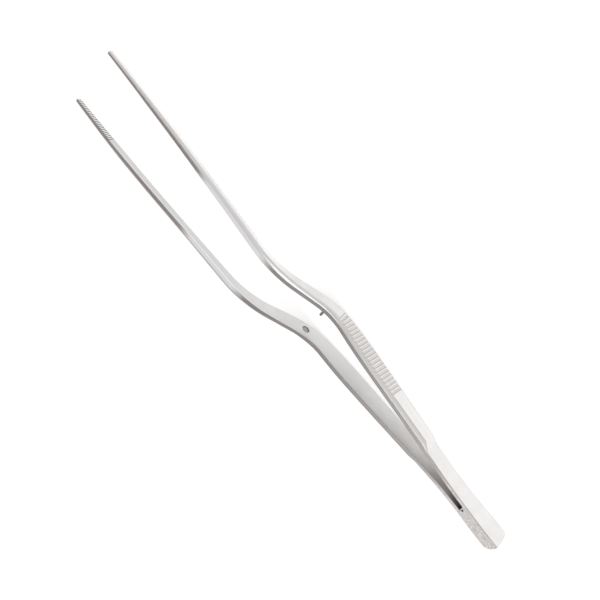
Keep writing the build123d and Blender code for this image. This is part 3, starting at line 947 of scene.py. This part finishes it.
class TWEEZERS_OT_front_arms(bpy.types.Operator):
    """Make the grip, bayonet bend, shank and toothed jaw of both arms"""

    bl_idname = "tweezers.front_arms"
    bl_label = "Grips, Shanks and Jaws"

    def execute(self, context):
        arm = Arm()
        d = arm.detail
        ridge_from, ridge_to = arm.first_ridge - d.ridge_width, arm.last_ridge + d.ridge_width
        tooth_from = arm.first_tooth - d.tooth_pitch
        turns = np.radians(np.linspace(0, 80, 9))
        place = np.unique(np.concatenate([
            [arm.grip_start, arm.grip_start + 0.15 * MM],
            spaced(arm.grip_start + 0.6 * MM, ridge_from, 1 * MM),
            spaced(ridge_from, ridge_to, d.ridge_pitch / 12),
            spaced(ridge_to, tooth_from, 0.8 * MM),
            spaced(tooth_from, arm.nose_start, d.tooth_pitch / 10),
            arm.nose_start + d.tip_radius * np.sin(turns),
        ]))
        neck = [arm.centre_line(at) for at in (arm.bend_end, arm.jaw_start)]
        for side, hand in HANDS.items():
            piece = bar_piece(f"{side}_grip_and_jaw", arm, place, [0.5], [0.6], hand)
            dress(piece, arm_material())
            if side == "far":
                self.drill(arm, piece)
            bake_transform(piece)
            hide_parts(f"{side}_grip", f"{side}_shank_neck", f"{side}_jaw")
        return {"FINISHED"}

    def drill(self, arm, piece):
        """Cuts the countersunk guide hole through the arm: a cone and a cylinder about the guide pin's line.

        The cutter's rows are circles: the radius falls by the depth until it reaches the hole's own.
        """
        d = arm.detail
        low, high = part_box("guide_pin")
        x, z = (low.x + high.x) / 2, (low.z + high.z) / 2
        face = float(arm.half_gap(np.array([x - HEEL_X]))[0])
        depth = np.array([-0.6 * MM, 0.0, d.sink_width, 2 * arm.section.grip_thickness])
        radius = np.maximum(d.hole_radius + d.sink_width - depth, d.hole_radius)
        turn = np.linspace(0, 2 * np.pi, 64, endpoint=False)
        ring_x, ring_z = x + np.outer(radius, np.cos(turn)), z + np.outer(radius, np.sin(turn))
        ring_y = np.broadcast_to((face + depth)[:, None], ring_x.shape)
        cutter = closed_surface("hole_cutter", np.stack([ring_x, ring_y, ring_z], -1), hand=-1)
        finish = settings()[3]
        # Painted shade: the countersink's cone takes the dark groove colour.
        cone_shade_steel = plain_steel("Countersink shade", finish.recess_shade, 0.45, 6000.0, 0.3)
        bore_steel = plain_steel("Drilled steel", finish.steel, 0.45, 6000.0, 0.3, metallic=0.4)
        cutter.data.materials.append(cone_shade_steel)
        cutter.data.materials.append(bore_steel)
        bored = np.zeros(len(cutter.data.polygons), np.int32)
        cone_rows = 2
        bored[cone_rows * len(turn):] = 1
        cutter.data.polygons.foreach_set("material_index", bored)
        drill = piece.modifiers.new("Guide hole", "BOOLEAN")
        drill.object, drill.operation, drill.solver = cutter, "DIFFERENCE", "EXACT"
        drill.material_mode = "TRANSFER"
        evaluated = piece.evaluated_get(bpy.context.evaluated_depsgraph_get())
        drilled = bpy.data.meshes.new_from_object(evaluated)
        piece.modifiers.clear()
        piece.data = drilled
        piece.data.set_sharp_from_angle(angle=CRISP_ANGLE)
        bpy.data.objects.remove(cutter)


class TWEEZERS_OT_heel_and_pin(bpy.types.Operator):
    """Finish the heel spacer and the guide pin"""

    bl_idname = "tweezers.heel_and_pin"
    bl_label = "Heel Spacer and Guide Pin"

    def execute(self, context):
        path, section, _, finish = settings()
        blasted = plain_steel("Blasted steel with pit shade", finish.steel, finish.blasted, PIT_SCALE, 0.4, metallic=MATT)
        # Painted shade in the spacer's weld pit.
        paint_pit_shade(blasted, path, section, finish.tooth)
        turned = plain_steel("Turned steel", finish.pin, 0.34, 5000.0, 0.15)
        dress(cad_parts["heel_spacer"], blasted)
        dress(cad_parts["guide_pin"], turned)
        return {"FINISHED"}


def soft_lamp(name, place, target, size, power):
    """A square area lamp that faces a target."""
    lamp = bpy.data.lights.new(name, "AREA")
    lamp.shape, lamp.size, lamp.energy = "SQUARE", size, power
    made = bpy.data.objects.new(name, lamp)
    made.location = place
    made.rotation_euler = (Vector(target) - Vector(place)).to_track_quat("-Z", "Y").to_euler()
    bpy.context.scene.collection.objects.link(made)


class TWEEZERS_OT_stage(bpy.types.Operator):
    """Make the floor, lights and camera"""

    bl_idname = "tweezers.stage"
    bl_label = "Stage"

    def execute(self, context):
        scene = context.scene
        scene.view_settings.view_transform = "Standard"
        self.floor()
        self.sky(scene)
        soft_lamp("Top softbox", place=(-0.65, -0.25, 0.85), target=(0.0, 0.0, 0.015), size=1.1, power=4.4)
        self.camera(scene)
        return {"FINISHED"}

    def camera(self, scene):
        """A camera above the object and to one side, turned so that the arms run up and across the view."""
        camera = bpy.data.cameras.new("Camera")
        camera.sensor_width, camera.lens = 36.0, 64.05
        camera.clip_start, camera.clip_end = 0.01, 20.0
        made = bpy.data.objects.new("Camera", camera)
        right = Vector((-0.6095, -0.5782, -0.5425)).normalized()
        forward = Vector((0.1703, 0.5728, -0.8018)).normalized()
        up = right.cross(forward).normalized()
        right = forward.cross(up)
        turn = Matrix((right, up, -forward)).transposed().to_4x4()
        made.matrix_world = Matrix.Translation((-0.0808, -0.2687, 0.3855)) @ turn
        scene.collection.objects.link(made)
        scene.camera = made

    def floor(self):
        """A square sheet under the object, with a little light of its own so that shadows stay faint."""
        finish = settings()[3]
        ends = (-3.0, 3.0)
        mesh = bpy.data.meshes.new("floor")
        mesh.from_pydata([(x, y, CAD_BOX[0].z) for x in ends for y in ends], [], [(0, 2, 3, 1)])
        floor = bpy.data.objects.new("floor", mesh)
        bpy.context.scene.collection.objects.link(floor)
        material = bpy.data.materials.new("Pale floor")
        material.use_nodes = True
        shader = material.node_tree.nodes["Principled BSDF"]
        shader.inputs["Base Color"].default_value = opaque(finish.floor)
        shader.inputs["Roughness"].default_value = 0.9
        shader.inputs["Emission Color"].default_value = (1.0, 1.0, 1.0, 1.0)
        shader.inputs["Emission Strength"].default_value = 0.38
        mesh.materials.append(material)

    def sky(self, scene):
        """A bright even room with a dim warm band, high behind the object, that its upper sides reflect."""
        world = bpy.data.worlds.new("Studio")
        scene.world = world
        world.use_nodes = True
        tree = world.node_tree
        direction = add_node(tree, "ShaderNodeTexCoord").outputs["Generated"]
        squeeze = {0: direction, 1: (0.5, 1.0, 1.0)}
        narrowed = add_node(tree, "ShaderNodeVectorMath", squeeze, operation="MULTIPLY")
        unit = add_node(tree, "ShaderNodeVectorMath", {0: narrowed.outputs[0]}, operation="NORMALIZE")
        both = {0: unit.outputs[0], 1: Vector((-0.1, 0.7, 0.7)).normalized()}
        toward = add_node(tree, "ShaderNodeVectorMath", both, operation="DOT_PRODUCT").outputs["Value"]
        band_edge, band_middle = math.cos(math.radians(46)), math.cos(math.radians(28))
        dimmed = remap(tree, toward, band_edge, band_middle)
        room = blend_colours(tree, dimmed, (0.72, 0.72, 0.72, 1.0), (0.33, 0.285, 0.275, 1.0))
        tree.links.new(room, tree.nodes["Background"].inputs["Color"])


class TWEEZERS_PT_panel(bpy.types.Panel):
    """Lists the steps and the sizes"""

    bl_label = "Bayonet Tweezers"
    bl_idname = "TWEEZERS_PT_panel"
    bl_space_type = "VIEW_3D"
    bl_region_type = "UI"
    bl_category = "Tweezers"

    def draw(self, context):
        for step in OPERATORS:
            self.layout.operator(step.bl_idname)
        for group in settings():
            box = self.layout.box()
            for name in group.__annotations__:
                box.prop(group, name)


PROPERTY_GROUPS = {
    "tweezers_path": TweezersPath,
    "tweezers_section": TweezersSection,
    "tweezers_detail": TweezersDetail,
    "tweezers_finish": TweezersFinish,
}
OPERATORS = (TWEEZERS_OT_rear_arms, TWEEZERS_OT_front_arms, TWEEZERS_OT_heel_and_pin, TWEEZERS_OT_stage)
CLASSES = (*PROPERTY_GROUPS.values(), *OPERATORS, TWEEZERS_PT_panel)


def register():
    """Registers the classes and hangs the settings on the scene."""
    for cls in CLASSES:
        bpy.utils.register_class(cls)
    for name, group in PROPERTY_GROUPS.items():
        setattr(bpy.types.Scene, name, bpy.props.PointerProperty(type=group))


def unregister():
    """Takes the settings and the classes away again."""
    for name in PROPERTY_GROUPS:
        delattr(bpy.types.Scene, name)
    for cls in reversed(CLASSES):
        bpy.utils.unregister_class(cls)


def main():
    """Makes the whole model and the stage."""
    register()
    bpy.ops.tweezers.rear_arms()
    bpy.ops.tweezers.front_arms()
    bpy.ops.tweezers.heel_and_pin()
    bpy.ops.tweezers.stage()


if __name__ == "__main__":
    main()
